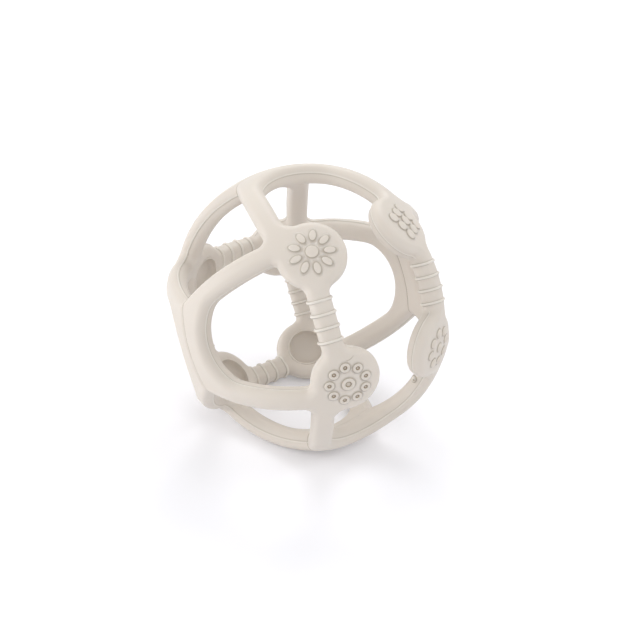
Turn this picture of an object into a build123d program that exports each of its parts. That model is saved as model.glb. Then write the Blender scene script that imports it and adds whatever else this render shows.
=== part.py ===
from build123d import *
from math import asin, atan2, cos, degrees, hypot, radians, sin, sqrt, tan
import os

os.makedirs("parts", exist_ok=True)

# A hollow cage ball moulded in one piece of silicone.
# While it is modelled, the big opening faces -Y, the back faces +Y and Z is up.
# Angles are in degrees and are seen from the centre of the ball.
# Its openings are drawn on the ball as loops of arcs, and its walls are turned round their axes.

# Ball
ball_radius = 50.0
wall = 6.8                  # thickness of every bar and disc, along the radius
bar_width = 7.4             # width of a strut, half way through the wall
outer_round = 2.9           # rounding along the outside of the openings
inner_round = 2.6           # rounding along the inside of the openings

# Discs, four on each half
disc_lon = 25.7             # from the front or back axis, sideways
disc_lat = 26.0             # from the front or back axis, upwards
disc_angle = 13.9           # half angle of a disc

# Ribbed struts between neighbouring discs, from the front or back axis to the strut's middle
front_strut_angle = 28.1
back_strut_angle = 30.3

# Ring openings, four on each half
ring_angle = 57.5           # from the front or back axis to the opening's middle
ring_end_angle = 23.7       # from its middle to its round end at the equator
arm_angle = 22.7            # half angle of the opening across its middle
arm_flare = 18.8            # how far its sides lean outwards
ring_corner = 9.0           # corner where a side meets the round end

# Corners where a disc meets a bar
arm_notch = 2.0
strut_notch = 3.0
front_notch = 4.5           # beside the arms of the big front opening

# Corner openings, four round the sides
gap_long_angle = 36.0       # half angle from the equator to a neck
gap_wide_angle = 26.0       # half angle along the equator
neck_corner = 2.5
equator_corner = 1.2

# Groove where the front and back rings lie side by side
groove_depth = 0.5
groove_width = 1.1          # at the surface

# Ribs round each strut
rib_count = 4
rib_pitch = 4.45
rib_thick = 0.9
rib_height = 0.5            # how far a rib stands out of the strut
rib_round = 3.2             # corner of the rib's section

# Round dish inside each disc
dish_radius = 6.7
dish_depth = 2.6
dish_round = 1.2

# Raised ornaments on the discs
boss_height = 0.7
boss_edge = 0.25            # bevel round the top of a boss
daisy_count = 9
daisy_radius = 5.7
petal_length = 3.9
petal_width = 2.2
daisy_button_radius = 2.0
loop_count = 9
loop_radius = 6.2
loop_outer_radius = 1.6
loop_hole_radius = 0.65
loop_button_radius = 2.2
loop_button_hole_radius = 1.1
dot_pitch = 4.3
dot_radius = 1.7
dot_turn = 18.0
dome_count = 8
dome_ring_radius = 5.5
dome_radius = 1.4
dome_height = 1.0           # above the disc
dome_turn = 15.0

# The ball leans back on its lower rear ring and the discs beside it
rest_tilt = 32.1

# Sizes that follow
core_radius = ball_radius - wall
mid_radius = ball_radius - wall / 2
bar_half_angle = degrees(bar_width / 2 / mid_radius)

front = Vector(0, -1, 0)
back = Vector(0, 1, 0)
right = Vector(1, 0, 0)
left = Vector(-1, 0, 0)
over = Vector(0, 0, 1)
under = Vector(0, 0, -1)


def tangent(angle):
    return tan(radians(angle))


def turned(start, end, angle):
    """The direction that lies the given angle from start towards end."""
    return start * cos(radians(angle)) + end * sin(radians(angle))


def square_to(axis, direction):
    """The part of a direction that is square to the axis."""
    return (direction - axis * direction.dot(axis)).normalized()


class Arc:
    """Part of an opening's outline: a circle on the ball round an axis, at an angle from it.

    The opening lies inside the circle where within is 1 and outside it where within is -1.
    """

    def __init__(self, axis, angle, within=1):
        self.axis = axis.normalized()
        self.angle = angle
        self.within = within
        self.start = None
        self.end = None

    def at(self, direction, lean=0):
        """Direction on the circle nearest the given one, or as much as lean outside the opening."""
        outward = square_to(self.axis, direction)
        return turned(self.axis, outward, self.angle + self.within * lean)

    def span(self):
        """Angle from start to end, going round with the opening on the left."""
        first = square_to(self.axis, self.start)
        last = square_to(self.axis, self.end)
        rise = first.cross(last).dot(self.axis) * self.within
        return degrees(atan2(rise, first.dot(last))) % 360


def corner(first, second, radius):
    """The small circle inside an opening that touches two arcs of its outline."""
    angle = degrees(radius / mid_radius)
    a = first.axis
    b = second.axis
    from_a = cos(radians(first.angle - first.within * angle))
    from_b = cos(radians(second.angle - second.within * angle))
    shared = a.dot(b)
    x = (from_a - shared * from_b) / (1 - shared ** 2)
    y = (from_b - shared * from_a) / (1 - shared ** 2)
    rest = sqrt(1 - x ** 2 - y ** 2 - 2 * x * y * shared)
    beside = a.cross(b).normalized() * first.within * second.within
    return Arc(a * x + b * y + beside * rest, angle)


def outline(arcs, radii):
    """Closes arcs into a loop with round corners, anticlockwise as seen from outside the ball."""
    corners = []
    for number, arc in enumerate(arcs):
        following = arcs[(number + 1) % len(arcs)]
        corners.append(corner(arc, following, radii[number]))
    loop = []
    for number, arc in enumerate(arcs):
        following = arcs[(number + 1) % len(arcs)]
        round_corner = corners[number]
        arc.start = arc.at(corners[number - 1].axis)
        arc.end = arc.at(round_corner.axis)
        round_corner.start = arc.end
        round_corner.end = following.at(round_corner.axis)
        loop += [arc, round_corner]
    return loop


def straight(middle, side, half_angle, lean_way=front, lean=0):
    """A great circle that bounds an opening on one side of its middle, and may lean."""
    return Arc(middle * tangent(half_angle) - side + lean_way * tangent(lean), 90)


def disc_direction(face, side, up):
    level = turned(face, side, disc_lon)
    return turned(level, up, disc_lat)


def disc_edge(face, way, beside):
    """Edge of the disc that lies between two ways, such as left and over."""
    side = way if way.Z == 0 else beside
    up = beside if way.Z == 0 else way
    return Arc(disc_direction(face, side, up), disc_angle, -1)


def ring_end(face, way):
    return Arc(turned(face, way, ring_angle), ring_end_angle)


def ring_side(face, way, beside):
    """Side of a ring opening, which leans outwards as it runs in from the equator."""
    middle = turned(face, way, ring_angle)
    inward = turned(face, -way, 90 - ring_angle)
    return straight(middle, beside, arm_angle, inward, arm_flare)


def strut_angle(face):
    return front_strut_angle if face == front else back_strut_angle


def strut_edge(face, way):
    """Edge of a strut on the side of the front or back opening."""
    return straight(face, way, strut_angle(face) - bar_half_angle)


def ring_opening(face, way):
    """Opening of a ring that ends in a strut."""
    beside = face.cross(way)
    middle = turned(face, way, ring_angle)
    inward = turned(face, -way, 90 - ring_angle)
    strut = straight(middle, inward, ring_angle - strut_angle(face) - bar_half_angle)
    arcs = [
        ring_end(face, way), ring_side(face, way, beside), disc_edge(face, way, beside),
        strut, disc_edge(face, way, -beside), ring_side(face, way, -beside)]
    return outline(arcs, [ring_corner, arm_notch, strut_notch, strut_notch, arm_notch, ring_corner])


def front_opening():
    """The big opening: the upper and lower front rings run into the middle one."""
    arcs = []
    radii = []
    for up, side in ((over, left), (under, right)):
        arcs += [
            ring_end(front, up), ring_side(front, up, side), disc_edge(front, side, up),
            strut_edge(front, side), disc_edge(front, side, -up), ring_side(front, -up, side)]
        radii += [ring_corner, front_notch, strut_notch, strut_notch, front_notch, ring_corner]
    return outline(arcs, radii)


def back_opening():
    arcs = []
    for way in (over, right, under, left):
        arcs += [strut_edge(back, way), disc_edge(back, way, back.cross(way))]
    return outline(arcs, [strut_notch] * len(arcs))


def gap_opening(side, up):
    """Corner opening: a rhombus with its long way from front to back."""
    middle = (side + up).normalized()
    level = middle.cross(front)
    arcs = []
    for long_way, wide_way in ((1, -1), (1, 1), (-1, 1), (-1, -1)):
        long_part = front * (long_way / tangent(gap_long_angle))
        wide_part = level * (wide_way / tangent(gap_wide_angle))
        arcs.append(Arc(middle - long_part - wide_part, 90))
    return outline(arcs, [neck_corner, equator_corner] * 2)


def openings():
    loops = [ring_opening(front, left), ring_opening(front, right)]
    for way in (left, right, over, under):
        loops.append(ring_opening(back, way))
    loops += [front_opening(), back_opening()]
    for side in (left, right):
        for up in (over, under):
            loops.append(gap_opening(side, up))
    return loops


def rim_lean(skin_radius, rounding):
    """Angle from an opening's side to where its rounded rim runs out into the skin."""
    return degrees(asin(abs(rounding) / (skin_radius - rounding)))


def rim_points(arc, skin_radius, rounding):
    """Points on a rim's round: where it leaves the skin, half way, and where it meets the side."""
    lean = rim_lean(skin_radius, rounding)
    middle = skin_radius - rounding
    centre = arc.at(arc.start, lean) * middle
    on_skin = arc.at(arc.start, lean) * skin_radius
    on_side = arc.at(arc.start) * middle * cos(radians(lean))
    bisector = (on_skin - centre) + (on_side - centre)
    return on_skin, centre + bisector.normalized() * abs(rounding), on_side


def wall_faces(arc):
    """Outer rim, side and inner rim along one arc, turned round the arc's axis."""
    outer_skin, outer_halfway, outer_side = rim_points(arc, ball_radius, outer_round)
    inner_skin, inner_halfway, inner_side = rim_points(arc, core_radius, -inner_round)
    profile = [
        Edge.make_three_point_arc(outer_skin, outer_halfway, outer_side),
        Edge.make_line(outer_side, inner_side),
        Edge.make_three_point_arc(inner_side, inner_halfway, inner_skin)]
    axis = Axis((0, 0, 0), arc.axis * arc.within)
    return [Face.revolve(edge, arc.span(), axis) for edge in profile]


def rim_edge(arc, skin_radius, lean):
    """Line on the skin where the rim of one arc begins."""
    first = square_to(arc.axis, arc.start)
    halfway = turned(first, arc.axis.cross(first) * arc.within, arc.span() / 2)
    places = [arc.at(way, lean) * skin_radius for way in (arc.start, halfway, arc.end)]
    return Edge.make_three_point_arc(*places)


def skin(skin_radius, rounding, loops):
    """The ball's outer or inner skin, cut along the rims; its poles lie in two openings."""
    face = (Rot(90, 0, 0) * Sphere(skin_radius)).faces()[0]
    lean = rim_lean(skin_radius, rounding)
    for loop in loops:
        rim = Wire([rim_edge(arc, skin_radius, lean) for arc in loop])
        parts = face.split_by_perimeter(rim, Keep.BOTH)
        face = max(parts, key=lambda part: len(part.edges()))
    return face


def cage():
    loops = openings()
    faces = [skin(ball_radius, outer_round, loops), skin(core_radius, -inner_round, loops)]
    for loop in loops:
        for arc in loop:
            faces += wall_faces(arc)
    return Solid(Shell(faces))


def groove():
    """V groove round the equator, outside and inside, where the half rings touch."""
    outside = Polygon(
        (ball_radius - groove_depth, 0), (ball_radius + groove_depth, -groove_width),
        (ball_radius + groove_depth, groove_width), align=None)
    inside = Polygon(
        (core_radius + groove_depth, 0), (core_radius - groove_depth, groove_width),
        (core_radius - groove_depth, -groove_width), align=None)
    return revolve(Plane.XY * (outside + inside), Axis.Y)


def strut_list():
    """Middle direction and running direction of each ribbed strut."""
    struts = []
    for face, way, along in (
            (front, left, over), (front, right, over), (back, left, over),
            (back, right, over), (back, over, right), (back, under, right)):
        struts.append((turned(face, way, strut_angle(face)), along))
    return struts


def ribs():
    """Parallel plates across each strut."""
    section = RectangleRounded(bar_width + 2 * rib_height, wall + 2 * rib_height, rib_round)
    plates = []
    for middle, along in strut_list():
        for number in range(rib_count):
            offset = (number - (rib_count - 1) / 2) * rib_pitch
            place = along * offset + middle * sqrt(mid_radius ** 2 - offset ** 2)
            plane = Plane(origin=place, x_dir=along.cross(middle), z_dir=along)
            plates.append(plane * extrude(section, rib_thick / 2, both=True))
    return plates


def dish():
    """Tool for the dish inside a disc, with its axis along Z and the ball's centre at the origin."""
    mouth = core_radius - wall
    floor = core_radius + dish_depth
    profile = make_face(Polyline(
        (0, mouth), (dish_radius, mouth), (dish_radius, floor), (0, floor), close=True))
    corner_point = profile.vertices().sort_by(Axis.Y)[-2:].sort_by(Axis.X)[-1]
    return revolve(Plane.XZ * fillet(corner_point, dish_round), Axis.Z)


def on_ball(x, y):
    """Plane that touches the ball's outside near the top, x and y along the surface."""
    distance = hypot(x, y)
    if distance == 0:
        return Plane(origin=(0, 0, ball_radius))
    outward = turned(Vector(0, 0, 1), Vector(x, y, 0) / distance, degrees(distance / ball_radius))
    return Plane(origin=outward * ball_radius, x_dir=(outward.Z, 0, -outward.X), z_dir=outward)


def raised(outline, x, y, turn=0):
    """One boss: an outline raised from just inside the ball's surface."""
    boss = extrude(outline, boss_height * 2)
    rim = boss.edges().group_by(Axis.Z)[-1]
    boss = Pos(0, 0, -boss_height) * chamfer(rim, boss_edge)
    return on_ball(x, y) * Rot(0, 0, turn) * boss


def round_the_disc(count, radius, start=90):
    """Places of a ring of bosses, with the first one at the start angle."""
    places = []
    for number in range(count):
        angle = start + 360 / count * number
        places.append((radius * cos(radians(angle)), radius * sin(radians(angle)), angle))
    return places


def daisy():
    bosses = [raised(Circle(daisy_button_radius), 0, 0)]
    petal = Ellipse(petal_length / 2, petal_width / 2)
    for x, y, angle in round_the_disc(daisy_count, daisy_radius):
        bosses.append(raised(petal, x, y, angle))
    return bosses


def loops():
    bosses = [raised(Circle(loop_button_radius) - Circle(loop_button_hole_radius), 0, 0)]
    loop = Circle(loop_outer_radius) - Circle(loop_hole_radius)
    for x, y, angle in round_the_disc(loop_count, loop_radius):
        bosses.append(raised(loop, x, y))
    return bosses


def dots():
    bosses = []
    for row in (-1, 0, 1):
        for column in (-1, 0, 1):
            place = Vector(column * dot_pitch, row * dot_pitch).rotate(Axis.Z, dot_turn)
            bosses.append(raised(Circle(dot_radius), place.X, place.Y))
    return bosses


def domes():
    dome = Pos(0, 0, dome_height - dome_radius) * Sphere(dome_radius)
    bosses = [on_ball(0, 0) * dome]
    for x, y, angle in round_the_disc(dome_count, dome_ring_radius, 90 + dome_turn):
        bosses.append(on_ball(x, y) * dome)
    return bosses


def disc_plane(face, side, up):
    """Plane through the ball's centre with Z out through a disc and Y towards its strut."""
    axis = disc_direction(face, side, up)
    strut_way = square_to(axis, -up)
    return Plane(origin=(0, 0, 0), x_dir=strut_way.cross(axis), z_dir=axis)


body = cage() - groove()
solids = ribs()
hollow = dish()
ornaments = {
    (left, over): daisy(),
    (left, under): loops(),
    (right, over): dots(),
    (right, under): domes(),
}
for face in (front, back):
    for (side, up), bosses in ornaments.items():
        if face == back:
            side = -side
        place = disc_plane(face, side, up)
        body = body - place * hollow
        solids += [place * boss for boss in bosses]
silicone_ball = Rot(-rest_tilt, 0, 0) * (body + solids)
box = silicone_ball.bounding_box()
silicone_ball = Pos(-box.center().X, -box.center().Y, -box.min.Z) * silicone_ball
print("solids", len(silicone_ball.solids()), "volume", round(silicone_ball.volume))
print("ball centre", -box.center().X, -box.center().Y, -box.min.Z)

export_step(silicone_ball, "parts/silicone_ball.step")
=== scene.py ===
import bpy
import numpy as np
from mathutils import Matrix, Vector


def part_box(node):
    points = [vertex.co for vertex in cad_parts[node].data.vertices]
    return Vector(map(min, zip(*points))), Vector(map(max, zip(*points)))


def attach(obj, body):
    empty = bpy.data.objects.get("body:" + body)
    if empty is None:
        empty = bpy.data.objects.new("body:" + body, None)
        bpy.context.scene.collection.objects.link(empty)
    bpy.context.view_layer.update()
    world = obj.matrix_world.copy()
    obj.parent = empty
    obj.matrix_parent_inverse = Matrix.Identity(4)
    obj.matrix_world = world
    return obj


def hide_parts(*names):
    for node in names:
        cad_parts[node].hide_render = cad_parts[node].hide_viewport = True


# Silicone cage ball. Lengths are in metres, angles in degrees seen from the middle of the ball.
# The ball is worked out upright, with its big opening towards -Y, and then leans back.

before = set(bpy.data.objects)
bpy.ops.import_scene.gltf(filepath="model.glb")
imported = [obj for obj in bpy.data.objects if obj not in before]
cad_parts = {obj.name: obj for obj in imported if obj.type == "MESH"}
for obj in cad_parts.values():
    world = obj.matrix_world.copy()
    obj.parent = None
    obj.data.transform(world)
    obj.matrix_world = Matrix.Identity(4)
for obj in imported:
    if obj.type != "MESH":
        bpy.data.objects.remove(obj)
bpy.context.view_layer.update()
low, high = (np.array(corner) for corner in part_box("silicone_ball"))
print("frame loaded", low, high)

ball = {
    "radius": 0.050,
    "wall": 0.0068,
    "barWidth": 0.0074,
    "outerRound": 0.0029,
    "innerRound": 0.0026,
    "lean": 32.1,                  # how far back it leans at rest
    "centreHeight": 0.045586,      # above the table
    "centreBack": -0.000699,       # from the middle of its box
}
coreRadius = ball["radius"] - ball["wall"]
midRadius = ball["radius"] - ball["wall"] / 2
barHalfAngle = np.degrees(ball["barWidth"] / 2 / midRadius)
ballCentre = np.array([0.0, ball["centreBack"], ball["centreHeight"]])
ballCentre += [(low[0] + high[0]) / 2, (low[1] + high[1]) / 2, low[2]]

front = np.array([0.0, -1.0, 0.0])
back = -front
right = np.array([1.0, 0.0, 0.0])
top = np.array([0.0, 0.0, 1.0])
leanCos, leanSin = np.cos(np.radians(ball["lean"])), np.sin(np.radians(ball["lean"]))
leanTurn = np.array([[1, 0, 0], [0, leanCos, leanSin], [0, -leanSin, leanCos]])


def unit(vector):
    return vector / np.linalg.norm(vector)


def tangent(angle):
    return np.tan(np.radians(angle))


def turned(start, end, angle):
    # the direction that lies the given angle from start towards end
    return start * np.cos(np.radians(angle)) + end * np.sin(np.radians(angle))


def squareTo(axis, direction):
    # the part of a direction that is square to an axis, made one unit long
    return unit(direction - axis * (direction @ axis))


def leanBack(points):
    # from the upright ball to where it lies: turned about its middle, then moved
    return points @ leanTurn.T + ballCentre


# Openings, as loops of arcs on the ball

openings = {
    "discLon": 25.7,               # discs, from the front or back axis
    "discLat": 26.0,
    "discAngle": 13.9,
    "frontStrut": 28.1,
    "backStrut": 30.3,
    "ring": 57.5,                  # ring openings
    "ringEnd": 23.7,
    "arm": 22.7,
    "armFlare": 18.8,
    "gapLong": 36.0,               # corner openings
    "gapWide": 26.0,
    "ringCorner": 0.0090,          # corner radii half way through the wall
    "armNotch": 0.0020,
    "strutNotch": 0.0030,
    "frontNotch": 0.0045,
    "neckCorner": 0.0025,
    "equatorCorner": 0.0012,
}


class Arc:
    # a circle on the ball round an axis: the opening lies inside it, or outside where within is -1

    def __init__(self, axis, angle, within=1):
        self.axis = unit(axis)
        self.angle = angle
        self.within = within
        self.start = self.end = None

    def nearest(self, direction):
        # the circle's direction that is nearest the given one
        return turned(self.axis, squareTo(self.axis, direction), self.angle)

    def along(self, spacing):
        # directions at even steps of turn round the axis, from the start to just before the end
        first = squareTo(self.axis, self.start)
        aside = np.cross(self.axis, first) * self.within
        last = squareTo(self.axis, self.end)
        span = np.arctan2(last @ aside, last @ first) % (2 * np.pi)
        count = max(4, int(span * np.sin(np.radians(self.angle)) * midRadius / spacing))
        steps = np.arange(count)[:, None] / count * span
        outward = first * np.cos(steps) + aside * np.sin(steps)
        return turned(self.axis, outward, self.angle)


def roundCorner(first, second, radius):
    # the small circle that touches two arcs from inside the opening: its axis lies a known
    # angle from each of theirs, so it is a share of each and the rest square to both
    angle = np.degrees(radius / midRadius)
    fromFirst = np.cos(np.radians(first.angle - first.within * angle))
    fromSecond = np.cos(np.radians(second.angle - second.within * angle))
    shared = first.axis @ second.axis
    x = (fromFirst - shared * fromSecond) / (1 - shared ** 2)
    y = (fromSecond - shared * fromFirst) / (1 - shared ** 2)
    rest = np.sqrt(1 - x ** 2 - y ** 2 - 2 * x * y * shared)
    beside = unit(np.cross(first.axis, second.axis)) * first.within * second.within
    return Arc(x * first.axis + y * second.axis + rest * beside, angle)


def outline(arcs, corners):
    # closes arcs, anticlockwise from outside the ball, with a round corner after each of them
    following = arcs[1:] + arcs[:1]
    rounds = [roundCorner(a, b, openings[name]) for a, b, name in zip(arcs, following, corners)]
    loop = []
    for number, arc in enumerate(arcs):
        arc.start = arc.nearest(rounds[number - 1].axis)
        arc.end = arc.nearest(rounds[number].axis)
        rounds[number].start = arc.end
        rounds[number].end = following[number].nearest(rounds[number].axis)
        loop += [arc, rounds[number]]
    return loop


def straight(middle, side, halfAngle, leanWay=front, lean=0.0):
    # great circle that bounds an opening on one side of its middle, and may lean
    return Arc(middle * tangent(halfAngle) - side + leanWay * tangent(lean), 90)


def discAxis(face, side, height):
    # direction through a disc: sideways from the front or back, then up or down
    return turned(turned(face, side, openings["discLon"]), height, openings["discLat"])


def discEdge(face, way, beside):
    # edge of the disc between two ways, such as right and top, with the opening outside it
    side, height = (way, beside) if way[2] == 0 else (beside, way)
    return Arc(discAxis(face, side, height), openings["discAngle"], -1)


def strutAngle(face):
    # from the front or back to a strut's middle
    return openings["frontStrut"] if face is front else openings["backStrut"]


def strutEdge(face, way):
    # edge of a strut on the side of the front or back opening
    return straight(face, way, strutAngle(face) - barHalfAngle)


def ringEnd(face, way):
    # round end of a ring opening, at the equator
    return Arc(turned(face, way, openings["ring"]), openings["ringEnd"])


def ringSide(face, way, beside):
    # side of a ring opening, which leans outwards as it runs in from the equator
    inward = turned(face, -way, 90 - openings["ring"])
    middle = turned(face, way, openings["ring"])
    return straight(middle, beside, openings["arm"], inward, openings["armFlare"])


def ringOpening(face, way):
    # a ring that ends in a strut between two discs
    beside = np.cross(face, way)
    inward = turned(face, -way, 90 - openings["ring"])
    reach = openings["ring"] - strutAngle(face) - barHalfAngle
    arcs = [
        ringEnd(face, way), ringSide(face, way, beside), discEdge(face, way, beside),
        straight(turned(face, way, openings["ring"]), inward, reach),
        discEdge(face, way, -beside), ringSide(face, way, -beside)]
    corners = ["ringCorner", "armNotch", "strutNotch", "strutNotch", "armNotch", "ringCorner"]
    return outline(arcs, corners)


def frontOpening():
    # the upper and lower front rings run into the middle one
    arcs = []
    for height, side in ((top, -right), (-top, right)):
        arcs += [
            ringEnd(front, height), ringSide(front, height, side), discEdge(front, side, height),
            strutEdge(front, side), discEdge(front, side, -height), ringSide(front, -height, side)]
    corners = ["ringCorner", "frontNotch", "strutNotch", "strutNotch", "frontNotch", "ringCorner"]
    return outline(arcs, corners * 2)


def backOpening():
    # four struts and the four discs between them
    arcs = []
    for way in (top, right, -top, -right):
        arcs += [strutEdge(back, way), discEdge(back, way, np.cross(back, way))]
    return outline(arcs, ["strutNotch"] * 8)


def gapOpening(side, height):
    # a rhombus of four great circles, with its long way from front to back
    middle = unit(side + height)
    level = np.cross(middle, front)
    arcs = []
    for longWay, wideWay in ((1, -1), (1, 1), (-1, 1), (-1, -1)):
        longPart = front * longWay / tangent(openings["gapLong"])
        widePart = level * wideWay / tangent(openings["gapWide"])
        arcs.append(Arc(middle - longPart - widePart, 90))
    return outline(arcs, ["neckCorner", "equatorCorner"] * 2)


loops = [ringOpening(front, right), ringOpening(front, -right)]
loops += [ringOpening(back, way) for way in (right, -right, top, -top)]
loops += [frontOpening(), backOpening()]
loops += [gapOpening(side, height) for side in (right, -right) for height in (top, -top)]
discAxes = {}
for faceName, face in (("front", front), ("back", back)):
    for sideName, side in (("right", right), ("left", -right)):
        for heightName, height in (("over", top), ("under", -top)):
            discAxes[faceName, sideName, heightName] = discAxis(face, side, height)
print("openings", len(loops))


def openingDepth(directions):
    # angle from the nearest outline, measured square to it, and negative on the bars and discs
    deepest = np.full(len(directions), -np.pi)
    for loop in loops:
        depth = np.full(len(directions), -np.pi)
        for arc in loop:
            afterStart = directions @ np.cross(arc.axis, arc.start) * arc.within >= 0
            beforeEnd = directions @ np.cross(arc.end, arc.axis) * arc.within >= 0
            beside = np.flatnonzero(afterStart & beforeEnd)
            fromAxis = np.arccos(np.clip(directions[beside] @ arc.axis, -1, 1))
            here = arc.within * (np.radians(arc.angle) - fromAxis)
            nearer = np.abs(here) < np.abs(depth[beside])
            depth[beside[nearer]] = here[nearer]
        deepest = np.maximum(deepest, depth)
    return deepest


# Cage, as the surface where a distance is nought

cage = {
    "cell": 0.00066,               # of the grid that the surface is drawn through
    "margin": 0.0015,              # of the grid past the ball
    "shellMargin": 0.001,          # past the wall, where the distance is worked out
    "settles": 3,                  # times that each point is drawn on to the surface
    "slopeStep": 0.00002,
    "leastSlope": 0.2,             # keeps the draw steady where the slope fades
    "dishRadius": 0.0067,
    "dishDepth": 0.0026,
    "dishRound": 0.0012,
    "dishSide": 0.8,               # share of the inner radius past which a disc's own dish lies
    "grooveDepth": 0.0005,
    "grooveWidth": 0.0011,
}


def roundedInside(a, b, radius):
    # distance inside two walls that meet in a round corner, from the distances past each of them
    a, b = a + radius, b + radius
    return np.hypot(np.maximum(a, 0), np.maximum(b, 0)) + np.minimum(np.maximum(a, b), 0) - radius


def cageDistance(points):
    # distance outside the silicone, and negative inside it: the wall between two spheres, cut by
    # the openings with round rims, less the dishes and the V groove round the equator
    radius = np.linalg.norm(points, axis=1)
    intoOpening = radius * openingDepth(points / radius[:, None])
    outOfWall = np.abs(radius - midRadius) - ball["wall"] / 2
    rim = np.where(radius > midRadius, ball["outerRound"], ball["innerRound"])
    distance = roundedInside(intoOpening, outOfWall, rim)
    for axis in discAxes.values():
        outward = points @ axis
        fromAxis = np.sqrt(np.maximum(radius ** 2 - outward ** 2, 0))
        pastSide = fromAxis - cage["dishRadius"]
        pastFloor = outward - coreRadius - cage["dishDepth"]
        dish = roundedInside(pastSide, pastFloor, cage["dishRound"])
        onThisSide = outward > coreRadius * cage["dishSide"]
        distance = np.where(onThisSide, np.maximum(distance, -dish), distance)
    nearSkin = np.maximum(radius - ball["radius"], coreRadius - radius)
    slant = cage["grooveWidth"] / 2 / cage["grooveDepth"]
    groove = (nearSkin + cage["grooveDepth"]) * slant - np.abs(points[:, 1])
    return np.maximum(distance, groove / np.hypot(slant, 1))


def slopeAt(field, points):
    # how fast the distance grows each way, from its change over a short step
    step = cage["slopeStep"]
    slope = np.empty_like(points)
    for k in range(3):
        shift = np.zeros(3)
        shift[k] = step
        slope[:, k] = (field(points + shift) - field(points - shift)) / (2 * step)
    return slope


def surfaceOf(field):
    # surface nets: a point in each grid cell that the surface crosses, a face for each crossed edge
    # an even count puts a row of cells on the equator, along the bottom of its groove
    cell = cage["cell"]
    count = 2 * int(np.ceil((ball["radius"] + cage["margin"]) / cell + 0.5))
    steps = (np.arange(count) - (count - 1) / 2) * cell
    grid = np.stack(np.meshgrid(steps, steps, steps, indexing="ij"), axis=-1).reshape(-1, 3)
    radius = np.linalg.norm(grid, axis=1)
    near = (radius > coreRadius - cage["shellMargin"]) & (radius < ball["radius"] + cage["shellMargin"])
    values = np.full(len(grid), cell)
    values[near] = field(grid[near])
    values = values.reshape(count, count, count)
    inside = values < 0
    corners = [(i, j, k) for i in (0, 1) for j in (0, 1) for k in (0, 1)]
    span = count - 1
    held = sum(inside[i:span + i, j:span + j, k:span + k].astype(np.int8) for i, j, k in corners)
    cells = np.argwhere((held > 0) & (held < 8))
    number = np.full((span,) * 3, -1)
    number[tuple(cells.T)] = np.arange(len(cells))
    points = np.zeros((len(cells), 3))
    crossed = np.zeros(len(cells))
    for axis in range(3):
        for first in corners:
            if first[axis]:
                continue
            second = list(first)
            second[axis] = 1
            start, end = cells + first, cells + second
            a, b = values[tuple(start.T)], values[tuple(end.T)]
            cut = (a < 0) != (b < 0)
            share = np.where(cut, a / np.where(cut, a - b, 1), 0)
            points += np.where(cut[:, None], start + share[:, None] * (end - start), 0)
            crossed += cut
    points = (points / crossed[:, None] - span / 2) * cell
    faces = []
    for axis in range(3):
        one, two = (axis + 1) % 3, (axis + 2) % 3
        a = np.moveaxis(inside, axis, 0)[:-1]
        b = np.moveaxis(inside, axis, 0)[1:]
        place = np.argwhere(a != b)
        leaving = (a & ~b)[tuple(place.T)]
        order = [axis] + [k for k in range(3) if k != axis]
        place = place[:, np.argsort(order)]
        around = []
        for shiftOne, shiftTwo in ((0, 0), (-1, 0), (-1, -1), (0, -1)):
            shift = np.zeros(3, int)
            shift[one], shift[two] = shiftOne, shiftTwo
            around.append(number[tuple((place + shift).T)])
        quad = np.stack(around, axis=1)
        quad[~leaving] = quad[~leaving][:, ::-1]
        faces.append(quad)
    for _ in range(cage["settles"]):
        slope = slopeAt(field, points)
        size = np.maximum((slope ** 2).sum(axis=1), cage["leastSlope"])
        step = field(points) / size
        points -= np.clip(step, -cell / 2, cell / 2)[:, None] * slope
    return points, np.concatenate(faces)


def meshPiece(name, points, faces, material):
    # a smooth piece that lies as the ball does
    mesh = bpy.data.meshes.new(name)
    mesh.from_pydata(leanBack(points).tolist(), [], [list(face) for face in faces])
    mesh.polygons.foreach_set("use_smooth", np.full(len(mesh.polygons), True))
    mesh.materials.append(material)
    mesh.update()
    piece = bpy.data.objects.new(name, mesh)
    bpy.context.scene.collection.objects.link(piece)
    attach(piece, "root")
    return piece


# Silicone, with painted shade and painted highlights

silicone = {
    "colour": (0.684, 0.629, 0.566),
    "tint": (0.652, 0.594, 0.528),
    # painted highlight: a lighter copy of the colour, for the ribs, the mould lines and the gate nub
    "raised": (0.728, 0.682, 0.620),
    # painted shade: a darker copy of the colour, for low bands beside the ribs and the mould lines
    "shaded": (0.550, 0.498, 0.428),
    # painted shade at creases and round the gate nub, and the colour of the dark joint, the pip and the
    # flow line
    "shadeAndMarks": (0.440, 0.388, 0.322),
    "holeShade": (0.300, 0.240, 0.170),
    # painted highlight on the round edges of the bosses
    "edge": (0.740, 0.700, 0.640),
    "speck": (0.330, 0.270, 0.210),
    "roughness": (0.45, 0.57),
    "ior": 1.41,
    "sheen": 0.10,
    "sheenRoughness": 0.5,
    "glow": 0.12,                  # share of light that goes below the skin
    "glowDepth": 0.0012,
    "glowColour": (1.0, 0.8, 0.6),
    "cloudScale": 45.0,
    "cloudDetail": 3.0,
    "grainScale": 2600.0,
    "grainDetail": 2.0,
    "grainStrength": 0.25,
    "grainHeight": 0.00002,
    "paintedShadeStart": 0.000012,       # heights above the ball: painted shade at a crease begins here
    "paintedShadeFull": 0.00010,         # is darkest here
    "paintedShadeHigh": (0.00016, 0.00026),   # and fades out between these
    "holeShadeLow": 0.00013,            # painted deep shade, in a hole
    "holeShadeHigh": 0.00017,
    "highlightMiddle": 0.00040,         # painted highlight along the round edge of a boss
    "highlightHalf": 0.00011,
    "highlightShare": 0.7,
    "jointHalf": 0.00019,          # dark line along the bottom of the equator groove
    "speckScale": 160.0,
    "speckSize": 0.035,
    "speckRare": 0.93,             # share of places without a speck
    "speckShare": 0.6,
}


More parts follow.
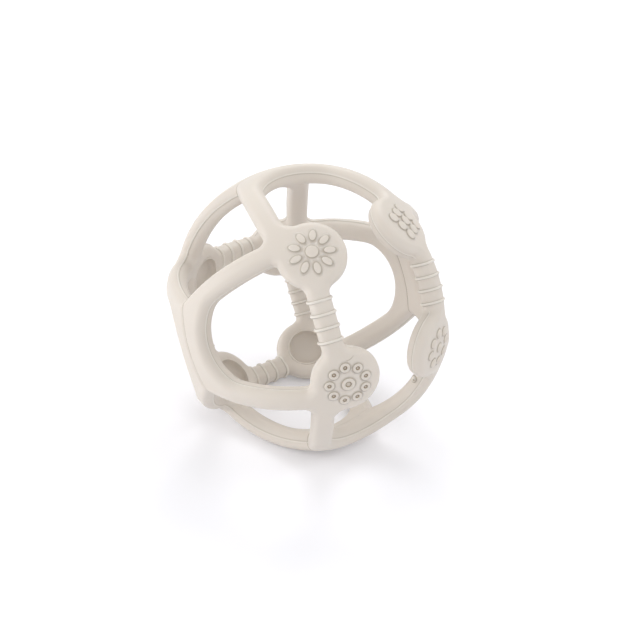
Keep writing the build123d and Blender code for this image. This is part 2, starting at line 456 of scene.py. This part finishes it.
def siliconeWithPaintedLight(name, tone="colour", withPaintedShading=False):
    # one tone with soft clouds, rare specks and the dark joint; painted shade at creases and in holes,
    # and a painted highlight on round edges, go by height
    material = bpy.data.materials.new(name)
    material.use_nodes = True
    nodes, links = material.node_tree.nodes, material.node_tree.links
    shader = nodes["Principled BSDF"]
    shader.inputs["IOR"].default_value = silicone["ior"]
    shader.inputs["Sheen Weight"].default_value = silicone["sheen"]
    shader.inputs["Sheen Roughness"].default_value = silicone["sheenRoughness"]
    shader.inputs["Subsurface Weight"].default_value = silicone["glow"]
    shader.inputs["Subsurface Radius"].default_value = silicone["glowColour"]
    shader.inputs["Subsurface Scale"].default_value = silicone["glowDepth"]
    place = nodes.new("ShaderNodeTexCoord").outputs["Object"]

    def node(kind, inputs, **settings):
        # one node with its inputs linked or set
        made = nodes.new(kind)
        for name, value in settings.items():
            setattr(made, name, value)
        for socket, value in inputs.items():
            if isinstance(value, bpy.types.NodeSocket):
                links.new(value, made.inputs[socket])
            else:
                made.inputs[socket].default_value = value
        return made

    def number(operation, first, second=0.0):
        return node("ShaderNodeMath", {0: first, 1: second}, operation=operation).outputs[0]

    def fade(value, start, end):
        # 1 at the start and 0 at the end, smooth in between
        held = {"Value": value, "From Min": start, "From Max": end, "To Min": 1.0, "To Max": 0.0}
        return node("ShaderNodeMapRange", held, interpolation_type="SMOOTHSTEP").outputs[0]

    def tinted(under, colour, share):
        # one colour laid over another, as far as share says
        held = {"Factor": share, 6: under, 7: (*colour, 1)}
        return node("ShaderNodeMix", held, data_type="RGBA").outputs[2]

    def noise(scale, detail):
        held = {"Vector": place, "Scale": scale, "Detail": detail}
        return node("ShaderNodeTexNoise", held).outputs["Fac"]

    upright = node("ShaderNodeMapping", {
        "Vector": place,
        "Rotation": (np.radians(ball["lean"]), 0, 0),
        "Location": tuple(-leanTurn.T @ ballCentre)})
    length = node("ShaderNodeVectorMath", {0: upright.outputs[0]}, operation="LENGTH")
    height = number("SUBTRACT", length.outputs["Value"], ball["radius"])
    axes = node("ShaderNodeSeparateXYZ", {0: upright.outputs[0]})
    fromEquator = number("ABSOLUTE", axes.outputs["Y"])

    cloud = noise(silicone["cloudScale"], silicone["cloudDetail"])
    tint = silicone["tint"] if tone == "colour" else silicone[tone]
    colour = tinted((*silicone[tone], 1), tint, cloud)
    dark = fade(fromEquator, silicone["jointHalf"] * 0.5, silicone["jointHalf"] * 1.5)
    # painted shade: darker just above the ball's skin, at the feet of the bosses and other raised parts
    if withPaintedShading:
        aboveBall = fade(height, silicone["paintedShadeFull"], silicone["paintedShadeStart"])
        belowTop = fade(height, *silicone["paintedShadeHigh"])
        dark = number("MAXIMUM", dark, number("MULTIPLY", aboveBall, belowTop))
    colour = tinted(colour, silicone["shadeAndMarks"], dark)
    if withPaintedShading:
        # painted shade: very dark at the height of the floors of the holes in the loops
        deep = number("MULTIPLY", number("GREATER_THAN", height, silicone["holeShadeLow"]),
                      number("LESS_THAN", height, silicone["holeShadeHigh"]))
        colour = tinted(colour, silicone["holeShade"], deep)
        # painted highlight: lighter at the height of the bosses' round edges
        fromEdge = number("ABSOLUTE", number("SUBTRACT", height, silicone["highlightMiddle"]))
        onHighlight = fade(fromEdge, silicone["highlightHalf"] * 0.6, silicone["highlightHalf"])
        colour = tinted(colour, silicone["edge"], number("MULTIPLY", onHighlight, silicone["highlightShare"]))
    cells = node("ShaderNodeTexVoronoi", {"Vector": place, "Scale": silicone["speckScale"]})
    draw = node("ShaderNodeSeparateColor", {0: cells.outputs["Color"]}).outputs[0]
    rare = number("GREATER_THAN", draw, silicone["speckRare"])
    spot = fade(cells.outputs["Distance"], silicone["speckSize"] * 0.4, silicone["speckSize"])
    speck = number("MULTIPLY", number("MULTIPLY", spot, rare), silicone["speckShare"])
    colour = tinted(colour, silicone["speck"], speck)
    links.new(colour, shader.inputs["Base Color"])

    smooth, rough = silicone["roughness"]
    dull = node("ShaderNodeMapRange", {"Value": cloud, "To Min": smooth, "To Max": rough})
    links.new(dull.outputs["Result"], shader.inputs["Roughness"])
    bump = node("ShaderNodeBump", {
        "Height": noise(silicone["grainScale"], silicone["grainDetail"]),
        "Strength": silicone["grainStrength"],
        "Distance": silicone["grainHeight"]})
    links.new(bump.outputs["Normal"], shader.inputs["Normal"])
    return material


# the cage, dish lips and ornaments carry the painted shade and painted highlight by height
skin = siliconeWithPaintedLight("warmWhiteSilicone", withPaintedShading=True)
highlightSkin = siliconeWithPaintedLight("paintedHighlightRibs", "raised")
paintedShadeSkin = siliconeWithPaintedLight("paintedShadeFeet", "shaded")
shadeAndMarkSkin = siliconeWithPaintedLight("paintedShadeAndMarks", "shadeAndMarks")
points, faces = surfaceOf(cageDistance)
cagePiece = meshPiece("cage", points, faces, skin)
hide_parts("silicone_ball")
print("cage", len(points), "points", len(faces), "faces")


# Moulding lines round the walls of the openings

line = {
    "outwards": 0.0004,            # from half way through the wall
    "radius": 0.00028,
    "stand": 0.00017,
    "shadeInwards": 0.00040,       # painted shade, a low dark band on the inner side of the line
    "shadeStand": 0.00006,
    "sunkAtRibs": 0.0006,          # the lines fade out along the ribbed struts
    "sunkBetween": (10.0, 13.0),   # degrees from a strut's middle
    "spacing": 0.0009,
    "stepsAcross": 8,
}


def closedGrid(rows, columns):
    # quads of a grid that closes on itself both ways
    i, j = np.meshgrid(np.arange(rows), np.arange(columns), indexing="ij")
    a = i * columns + j
    b = i * columns + (j + 1) % columns
    c = (i + 1) % rows * columns + (j + 1) % columns
    d = (i + 1) % rows * columns + j
    return np.stack([a, d, c, b], axis=-1).reshape(-1, 4)


def tube(path, outOfWall, upWall, thickness):
    # a round section carried along a closed path: out of the wall by cos, up the wall by sin
    around = np.arange(line["stepsAcross"]) / line["stepsAcross"] * 2 * np.pi
    offset = outOfWall[:, None] * np.cos(around)[:, None] + upWall[:, None] * np.sin(around)[:, None]
    return path[:, None] + offset * thickness


# direction through the middle of each strut, and the way it runs
struts = []
for face in (front, back):
    struts += [(turned(face, side, strutAngle(face)), top) for side in (right, -right)]
struts += [(turned(back, height, strutAngle(back)), right) for height in (top, -top)]


def mouldLine(loop, outwards, stand):
    # thin round ridge along the wall of one opening, sunk into the wall beside the ribs
    directions = np.concatenate([arc.along(line["spacing"]) for arc in loop])
    fromStruts = [np.degrees(np.arccos(directions @ middle)) for middle, _ in struts]
    fromStrut = np.min(fromStruts, axis=0)
    sunk = np.interp(fromStrut, line["sunkBetween"], (line["sunkAtRibs"], 0))[:, None]
    ahead = np.roll(directions, -1, axis=0) - np.roll(directions, 1, axis=0)
    intoOpening = np.cross(directions, ahead)
    intoOpening /= np.linalg.norm(intoOpening, axis=1)[:, None]
    path = directions * (midRadius + outwards) + intoOpening * (stand - line["radius"] - sunk)
    return tube(path, intoOpening, directions, line["radius"])


def outwardFaces(points, faces):
    # a closed surface holds a positive volume where its faces point outwards, else it is turned round
    a, b, c, d = (points[faces[:, k]] for k in range(4))
    volume = (a * (np.cross(b, c) + np.cross(c, d))).sum()
    return faces if volume > 0 else faces[:, ::-1]


def joined(surfaces):
    # points and faces of several closed grids in one piece
    points, faces, total = [], [], 0
    for surface in surfaces:
        points.append(surface.reshape(-1, 3))
        faces.append(outwardFaces(points[-1], closedGrid(*surface.shape[:2])) + total)
        total += len(points[-1])
    return np.concatenate(points), np.concatenate(faces)


ridges = [mouldLine(loop, line["outwards"], line["stand"]) for loop in loops]
# low dark tubes beside the ridges: painted shade
shadeOutwards = line["outwards"] - line["shadeInwards"]
shades = [mouldLine(loop, shadeOutwards, line["shadeStand"]) for loop in loops]
meshPiece("mouldLines", *joined(ridges), highlightSkin)
meshPiece("mouldLinePaintedShade", *joined(shades), paintedShadeSkin)
print("mould lines", len(ridges))


# Thin lips round the dishes

lip = {
    "radius": 0.00035,
    "raised": 0.4,                 # share of its radius that its middle is outside the inner skin
    "steps": 72,
}


def dishLip(axis):
    # a round section carried along the circle where a dish meets the inner skin
    across = squareTo(axis, right)
    turn = np.arange(lip["steps"])[:, None] / lip["steps"] * 2 * np.pi
    outward = across * np.cos(turn) + np.cross(axis, across) * np.sin(turn)
    lean = np.degrees(np.arcsin(cage["dishRadius"] / coreRadius))
    path = turned(axis, outward, lean) * (coreRadius + lip["radius"] * lip["raised"])
    return tube(path, outward, np.broadcast_to(axis, outward.shape), lip["radius"])


meshPiece("dishLips", *joined([dishLip(axis) for axis in discAxes.values()]), skin)
print("dish lips", len(discAxes))


# Ribs round the struts

rib = {
    "count": 4,
    "pitch": 0.00445,
    "thickness": 0.00085,
    "stand": 0.00052,
    "corner": 0.0028,
    "width": 1.02,                 # of its root, as a share of the strut's
    "shadeWidth": 0.00024,          # painted shade, a low dark band on each side of a rib
    "footRise": 0.00009,
    "stepsRound": 132,
    "stepsAcross": 12,
    "shadeStepsAcross": 6,
    "blunt": 0.7,                  # below 1 the section is squarer than an oval
}


def roundedLoop(width, height, corner, steps):
    # points and outward directions, evenly spaced along a rectangle with round corners: a point
    # on a corner turns with its part of the quarter circle, and one on a side slides along it
    straightX, straightY, arc = width - 2 * corner, height - 2 * corner, corner * np.pi / 2
    lengths = np.array([straightY, arc, straightX, arc, straightY, arc, straightX, arc])
    ends = np.cumsum(lengths)
    along = (np.arange(steps) + 0.5) / steps * ends[-1]
    run = np.searchsorted(ends, along)
    part = (along - ends[run] + lengths[run]) / lengths[run]
    turn = (run // 2 + np.where(run % 2, part, 0)) * np.pi / 2
    outX, outY = np.cos(turn), np.sin(turn)
    centreX = np.array([1, 1, 1, -1, -1, -1, -1, 1])[run] * straightX / 2
    centreY = np.array([-1, 1, 1, 1, 1, -1, -1, -1])[run] * straightY / 2
    slide = np.where(run % 2, 0, part)
    centreX = centreX + slide * straightX * np.array([0, 0, -1, 0, 0, 0, 1, 0])[run]
    centreY = centreY + slide * straightY * np.array([1, 0, 0, 0, -1, 0, 0, 0])[run]
    return np.stack([centreX + corner * outX, centreY + corner * outY, outX, outY], axis=1)


def squarish(wave):
    # a sine or cosine drawn out towards a square wave
    return np.sign(wave) * np.abs(wave) ** rib["blunt"]


section = roundedLoop(ball["barWidth"] * rib["width"], ball["wall"], rib["corner"], rib["stepsRound"])


def bands(stand, thickness, stepsAcross):
    # rounded bands across the struts: a squarish oval carried round each strut's own section
    around = np.arange(stepsAcross) / stepsAcross * 2 * np.pi
    rise = stand * squarish(np.cos(around))
    spread = thickness / 2 * squarish(np.sin(around))
    surfaces = []
    for middle, along in struts:
        across = np.cross(along, middle)
        for number in range(rib["count"]):
            offset = (number - (rib["count"] - 1) / 2) * rib["pitch"]
            centre = along * offset + middle * np.sqrt(midRadius ** 2 - offset ** 2)
            place = section[:, :1] * across + section[:, 1:2] * middle + centre
            outside = section[:, 2:3] * across + section[:, 3:4] * middle
            surface = place[:, None] + outside[:, None] * rise[None, :, None]
            surfaces.append(surface + along * spread[None, :, None])
    return joined(surfaces)


# the ribs are lighter than the struts as a painted highlight
meshPiece("ribs", *bands(rib["stand"], rib["thickness"], rib["stepsAcross"]), highlightSkin)
# low dark bands on either side of each rib: painted shade
shadeSpread = rib["thickness"] + 2 * rib["shadeWidth"]
meshPiece("ribPaintedShade", *bands(rib["footRise"], shadeSpread, rib["shadeStepsAcross"]), paintedShadeSkin)
print("ribs", len(struts) * rib["count"])


# Raised ornaments on the discs

ornament = {
    "height": 0.00052,
    "sunk": 0.0005,
    "softEdge": 0.00024,
    "foot": 0.00065,               # width of the crease that rises to a boss, painted dark as shade by the skin
    "footRise": 0.00011,
    "holeFloor": 0.00015,          # above the ball, as the heights are
    "petals": 9,
    "petalRing": 0.0057,
    "petalLength": 0.0036,
    "petalWidth": 0.0021,
    "petalButton": 0.0020,
    "loops": 9,
    "loopRing": 0.0062,
    "loopOuter": 0.0016,
    "loopHole": 0.00075,
    "loopDot": 0.00032,
    "loopButton": 0.0022,
    "loopButtonHole": 0.0011,
    "loopButtonDot": 0.00080,
    "loopDotRise": 0.00006,
    "dotPitch": 0.0039,
    "dotRadius": 0.0017,
    "dotTurn": 17.0,
    "domes": 8,
    "domeRing": 0.0056,
    "domeRadius": 0.0015,
    "domeHeight": 0.0010,
    "domeTurn": 18.0,
    "domeBlunt": 0.8,              # below 1 a dome is fuller than an oval
    "domeRim": 1.02,               # share of its radius where its crease ends
    "steps": 40,                   # round a boss
    "edgeSteps": 6,                # along its round edge
    "domeSteps": 10,
    "edgeLean": 0.2,               # share of the soft edge by which a side leans out at its foot
    "pinhole": 0.05,               # share of the middle that one flat face closes
    "domePinhole": 0.03,
}


def bossProfile(outer, hole=0.0, dot=0.0):
    # half section of a boss: sunk foot, crease, round edge, and inwards to its middle
    soft, rise, footRise = ornament["softEdge"], ornament["height"], ornament["footRise"]
    floor, lean = ornament["holeFloor"], ornament["edgeLean"]
    turn = np.linspace(0, np.pi / 2, ornament["edgeSteps"])
    radial = [outer + ornament["foot"], outer + ornament["foot"], outer + soft * lean]
    upward = [-ornament["sunk"], 0, footRise]
    radial += list(outer - soft + soft * np.cos(turn))
    upward += list(rise - soft + soft * np.sin(turn))
    if hole:
        radial += list(hole + soft - soft * np.sin(turn)) + [hole - soft * lean, dot]
        upward += list(rise - soft + soft * np.cos(turn)) + [floor, floor]
        radial += list(dot * np.cos(turn[1:-1]))
        upward += list(floor + ornament["loopDotRise"] * np.sin(turn[1:-1]))
    radial.append(radial[-1] * ornament["pinhole"])
    upward.append(upward[-1])
    return np.array(radial), np.array(upward)


def domeProfile(radius, height):
    # half section of a dome: sunk foot, crease, and a quarter of a blunt oval
    turn = np.linspace(0, np.pi / 2, ornament["domeSteps"])
    foot, footRise = radius + ornament["foot"], ornament["footRise"]
    oval = height * np.sin(turn) ** ornament["domeBlunt"]
    rim, middle = radius * ornament["domeRim"], radius * ornament["domePinhole"]
    radial = np.concatenate([[foot, foot, rim], radius * np.cos(turn[:-1]), [middle]])
    upward = np.concatenate([[-ornament["sunk"], 0, footRise, footRise], oval[1:]])
    return radial, upward


def bossSurface(profile, longer, turn):
    # the half section carried round Z, drawn out to an oval, turned, and bent to the ball
    radial, upward = profile
    around = np.arange(ornament["steps"]) / ornament["steps"] * 2 * np.pi
    x = longer * radial[:, None] * np.cos(around)
    y = radial[:, None] * np.sin(around)
    c, s = np.cos(np.radians(turn)), np.sin(np.radians(turn))
    bend = (x ** 2 + y ** 2) / (2 * ball["radius"])
    return np.stack([c * x - s * y, s * x + c * y, upward[:, None] - bend], axis=-1)


def ringPlaces(count, radius, start):
    # place and turn of each boss in a ring
    angles = start + 360 / count * np.arange(count)
    return [(radius * np.cos(np.radians(a)), radius * np.sin(np.radians(a)), a) for a in angles]


def ringOfBosses(middle, boss, count, radius, longer=1.0, start=90.0):
    # one boss in the middle of a ring: place, turn, half section and how much longer it is than wide
    bosses = [(0, 0, 0, middle, 1.0)]
    for x, y, angle in ringPlaces(count, radius, start):
        bosses.append((x, y, angle, boss, longer))
    return bosses


def daisy():
    # oval petals that point away from a round button
    petal = bossProfile(ornament["petalWidth"] / 2)
    longer = ornament["petalLength"] / ornament["petalWidth"]
    middle = bossProfile(ornament["petalButton"])
    return ringOfBosses(middle, petal, ornament["petals"], ornament["petalRing"], longer)


def ringsOfLoops():
    # small loops round a bigger one, each with a dot in its hole
    middle = bossProfile(ornament["loopButton"], ornament["loopButtonHole"], ornament["loopButtonDot"])
    loop = bossProfile(ornament["loopOuter"], ornament["loopHole"], ornament["loopDot"])
    return ringOfBosses(middle, loop, ornament["loops"], ornament["loopRing"])


def squareOfDots():
    # three rows of three flat dots, turned on the disc
    dot = bossProfile(ornament["dotRadius"])
    c, s = np.cos(np.radians(ornament["dotTurn"])), np.sin(np.radians(ornament["dotTurn"]))
    bosses = []
    for row in (-1, 0, 1):
        for column in (-1, 0, 1):
            x, y = column * ornament["dotPitch"], row * ornament["dotPitch"]
            bosses.append((c * x - s * y, s * x + c * y, 0, dot, 1.0))
    return bosses


def groupOfDomes():
    # a ring of domes round another of the same size
    dome = domeProfile(ornament["domeRadius"], ornament["domeHeight"])
    start = 90 + ornament["domeTurn"]
    return ringOfBosses(dome, dome, ornament["domes"], ornament["domeRing"], start=start)


def onDisc(surface, x, y, axis, across, strutWay):
    # lays a boss on the ball: its place is measured along the surface from the disc's middle
    distance = np.hypot(x, y)
    heading = (x * across + y * strutWay) / max(distance, 1e-9)
    outward = turned(axis, heading, np.degrees(distance / ball["radius"]))
    sideways = squareTo(outward, across)
    upward = np.cross(outward, sideways)
    base = outward * ball["radius"]
    return base + surface[..., :1] * sideways + surface[..., 1:2] * upward + surface[..., 2:3] * outward


def bossFaces(rows, columns, start):
    # quads of a section that closes on itself, with one face under it and one on its end
    i, j = np.meshgrid(np.arange(rows - 1), np.arange(columns), indexing="ij")
    a = i * columns + j
    b = i * columns + (j + 1) % columns
    quads = np.stack([a, b, b + columns, a + columns], axis=-1).reshape(-1, 4) + start
    edge = np.arange(columns) + start
    return quads.tolist() + [edge[::-1].tolist(), (edge + (rows - 1) * columns).tolist()]


patterns = {
    ("left", "over"): daisy(),
    ("left", "under"): ringsOfLoops(),
    ("right", "over"): squareOfDots(),
    ("right", "under"): groupOfDomes(),
}
mirrored = {"left": "right", "right": "left"}
bossPoints, bossQuads, total = [], [], 0
for faceName in ("front", "back"):
    for (sideName, heightName), bosses in patterns.items():
        place = sideName if faceName == "front" else mirrored[sideName]
        axis = discAxes[faceName, place, heightName]
        strutWay = squareTo(axis, -top if heightName == "over" else top)
        across = np.cross(strutWay, axis)
        for x, y, turn, profile, longer in bosses:
            surface = onDisc(bossSurface(profile, longer, turn), x, y, axis, across, strutWay)
            bossQuads += bossFaces(*surface.shape[:2], total)
            bossPoints.append(surface.reshape(-1, 3))
            total += len(bossPoints[-1])
# the skin paints shade on the crease round each boss, deeper shade in the holes and a highlight on the
# round edges
meshPiece("ornaments", np.concatenate(bossPoints), bossQuads, skin)
print("ornaments", len(bossPoints), "bosses")


# Gate nub below one disc, lighter as a painted highlight, with a low ring painted dark as shade round
# it, and its pip

gate = {
    "place": (0.01829, -0.02382, -0.03254),
    "radius": 0.0010,
    "height": 0.0005,
    "foot": 0.0004,
    "pipRadius": 0.00045,
    "pipAside": (-0.0003, -0.0004),
    "roundShare": 0.25,            # share of the radius that rounds off towards the top
    "edgeSteps": 6,
}


def button(radius, height, place, aside=(0, 0)):
    # a low round button: a quarter of an oval near its edge, flat in the middle
    turn = np.linspace(0, np.pi / 2, gate["edgeSteps"])
    edge = radius * (1 - gate["roundShare"] + gate["roundShare"] * np.cos(turn))
    radial = np.concatenate([[radius], edge, [radius * ornament["pinhole"]]])
    upward = np.concatenate([[-height], height * np.sin(turn), [height]])
    around = np.arange(ornament["steps"]) / ornament["steps"] * 2 * np.pi
    sideways = squareTo(gateNormal, right)
    upwards = np.cross(gateNormal, sideways)
    x = radial[:, None] * np.cos(around) + aside[0]
    y = radial[:, None] * np.sin(around) + aside[1]
    flat = x[..., None] * sideways + y[..., None] * upwards
    return place + flat + upward[:, None, None] * gateNormal


def endedGrid(surface):
    # points and faces of one surface that is closed at both ends by a flat face
    return surface.reshape(-1, 3), bossFaces(*surface.shape[:2], 0)


gatePlace = np.array(gate["place"])
gateNormal = unit(slopeAt(cageDistance, gatePlace[None])[0])
pipPlace = gatePlace + gateNormal * gate["height"]
nub = button(gate["radius"], gate["height"], gatePlace)
# a low dark ring round the nub: painted shade
foot = button(gate["radius"] + gate["foot"], gate["height"] / 4, gatePlace)
pip = button(gate["pipRadius"], gate["height"] / 3, pipPlace, gate["pipAside"])
meshPiece("gateNub", *endedGrid(nub), highlightSkin)
meshPiece("gatePaintedShade", *endedGrid(foot), shadeAndMarkSkin)
meshPiece("gatePip", *endedGrid(pip), shadeAndMarkSkin)
print("gate nub")


# Fine flow line on one disc

flow = {
    "places": (
        (-0.02037, -0.04346, -0.01400), (-0.01890, -0.04416, -0.01400), (-0.01754, -0.04479, -0.01295)),
    "radius": 0.00009,
    "drawn": (0.02, 0.98),         # share of the way that the line is drawn
    "steps": 24,
}


def flowLine():
    # a hair-thin ridge on the parabola through three places on the ball, tapering at both ends
    first, middle, last = (unit(np.array(place)) for place in flow["places"])
    along = np.linspace(*flow["drawn"], flow["steps"])[:, None]
    path = first * (1 - along) * (1 - 2 * along)
    path += middle * 4 * along * (1 - along)
    path += last * along * (2 * along - 1)
    path /= np.linalg.norm(path, axis=1)[:, None]
    beside = np.cross(path, np.gradient(path, axis=0))
    beside /= np.linalg.norm(beside, axis=1)[:, None]
    thick = flow["radius"] * np.sqrt(4 * along * (1 - along))
    turn = np.arange(line["stepsAcross"]) / line["stepsAcross"] * 2 * np.pi
    section = beside[:, None] * np.cos(turn)[:, None] + path[:, None] * np.sin(turn)[:, None]
    return path[:, None] * ball["radius"] + section * thick[:, None]


meshPiece("flowLine", *endedGrid(flowLine()), shadeAndMarkSkin)
print("flow line")


# Floor, light and camera

studio = {
    "floorSize": 6.0,
    "floorColour": (0.895, 0.895, 0.93),
    "floorRoughness": 0.9,
    "floorShine": 0.1,
    "floorLift": 0.09,             # what the floor gives to the camera beside the light that it returns
    "worldLight": 0.51,
    "lampSize": 0.80,
    "lamps": {                     # power and place of each
        "leftLight": (7.2, (-0.85, 0.64, 0.31)),
        "frontLight": (4.1, (-0.59, -0.71, 0.64)),
        "rightLight": (3.5, (0.65, -0.49, 0.78)),
        "backLight": (5.9, (0.48, 0.58, 0.85)),
    },
    "lens": 79.12,
    "sensor": 36,
    "distance": 0.4758,
    "cameraBack": (-0.5387, -0.6446, 0.5425),
    "cameraUp": (0.2859, 0.4658, 0.8374),
    "aside": 0.00038,              # from the line through the ball's centre to the camera
    "below": 0.00093,
}


def seenDirectly(nodes, links):
    # 1 for rays from the camera, reflections and glass, 0 for the light that falls on the object
    rays = nodes.new("ShaderNodeLightPath")
    seen = rays.outputs["Is Camera Ray"]
    for name in ("Is Glossy Ray", "Is Transmission Ray"):
        either = nodes.new("ShaderNodeMath")
        either.operation = "MAXIMUM"
        links.new(seen, either.inputs[0])
        links.new(rays.outputs[name], either.inputs[1])
        seen = either.outputs[0]
    return seen


def paleFloor():
    # a dull pale floor that gives a little light of its own, but none to the object
    material = bpy.data.materials.new("paleFloor")
    material.use_nodes = True
    nodes, links = material.node_tree.nodes, material.node_tree.links
    shader = nodes["Principled BSDF"]
    shader.inputs["Base Color"].default_value = (*studio["floorColour"], 1)
    shader.inputs["Roughness"].default_value = studio["floorRoughness"]
    shader.inputs["Specular IOR Level"].default_value = studio["floorShine"]
    shader.inputs["Emission Color"].default_value = (1, 1, 1, 1)
    lift = nodes.new("ShaderNodeMath")
    lift.operation = "MULTIPLY"
    links.new(seenDirectly(nodes, links), lift.inputs[0])
    lift.inputs[1].default_value = studio["floorLift"]
    links.new(lift.outputs[0], shader.inputs["Emission Strength"])
    return material


def softWorld():
    # white where it is seen, and a weaker even light on the object
    world = bpy.data.worlds.new("studio")
    bpy.context.scene.world = world
    world.use_nodes = True
    nodes, links = world.node_tree.nodes, world.node_tree.links
    nodes.clear()
    plain, white = (nodes.new("ShaderNodeBackground") for _ in range(2))
    plain.inputs["Strength"].default_value = studio["worldLight"]
    white.inputs["Strength"].default_value = 1.0
    choose = nodes.new("ShaderNodeMixShader")
    links.new(seenDirectly(nodes, links), choose.inputs[0])
    links.new(plain.outputs[0], choose.inputs[1])
    links.new(white.outputs[0], choose.inputs[2])
    links.new(choose.outputs[0], nodes.new("ShaderNodeOutputWorld").inputs["Surface"])


def softLamp(name, power, place):
    # a square lamp that faces the ball
    lamp = bpy.data.lights.new(name, "AREA")
    lamp.energy, lamp.size = power, studio["lampSize"]
    holder = bpy.data.objects.new(name, lamp)
    holder.location = place
    holder.rotation_euler = (Vector(ballCentre) - Vector(place)).to_track_quat("-Z", "Y").to_euler()
    bpy.context.scene.collection.objects.link(holder)


half = studio["floorSize"] / 2
floorCorners = [(x * half, y * half, low[2]) for x, y in ((-1, -1), (1, -1), (1, 1), (-1, 1))]
floorMesh = bpy.data.meshes.new("floor")
floorMesh.from_pydata(floorCorners, [], [(0, 1, 2, 3)])
floorMesh.materials.append(paleFloor())
floor = bpy.data.objects.new("floor", floorMesh)
bpy.context.scene.collection.objects.link(floor)
softWorld()
for name, (power, place) in studio["lamps"].items():
    softLamp(name, power, place)

lens = bpy.data.cameras.new("camera")
lens.lens = studio["lens"]
lens.sensor_width = studio["sensor"]
camera = bpy.data.objects.new("camera", lens)
backward = Vector(studio["cameraBack"]).normalized()
upward = Vector(studio["cameraUp"])
upward = (upward - backward * upward.dot(backward)).normalized()
rightward = upward.cross(backward)
place = Vector(ballCentre) + backward * studio["distance"]
place += rightward * studio["aside"] - upward * studio["below"]
cameraTurn = Matrix((rightward, upward, backward)).transposed().to_4x4()
camera.matrix_world = Matrix.Translation(place) @ cameraTurn
bpy.context.scene.collection.objects.link(camera)
bpy.context.scene.camera = camera
bpy.context.scene.view_settings.view_transform = "Standard"
print("light and camera set")
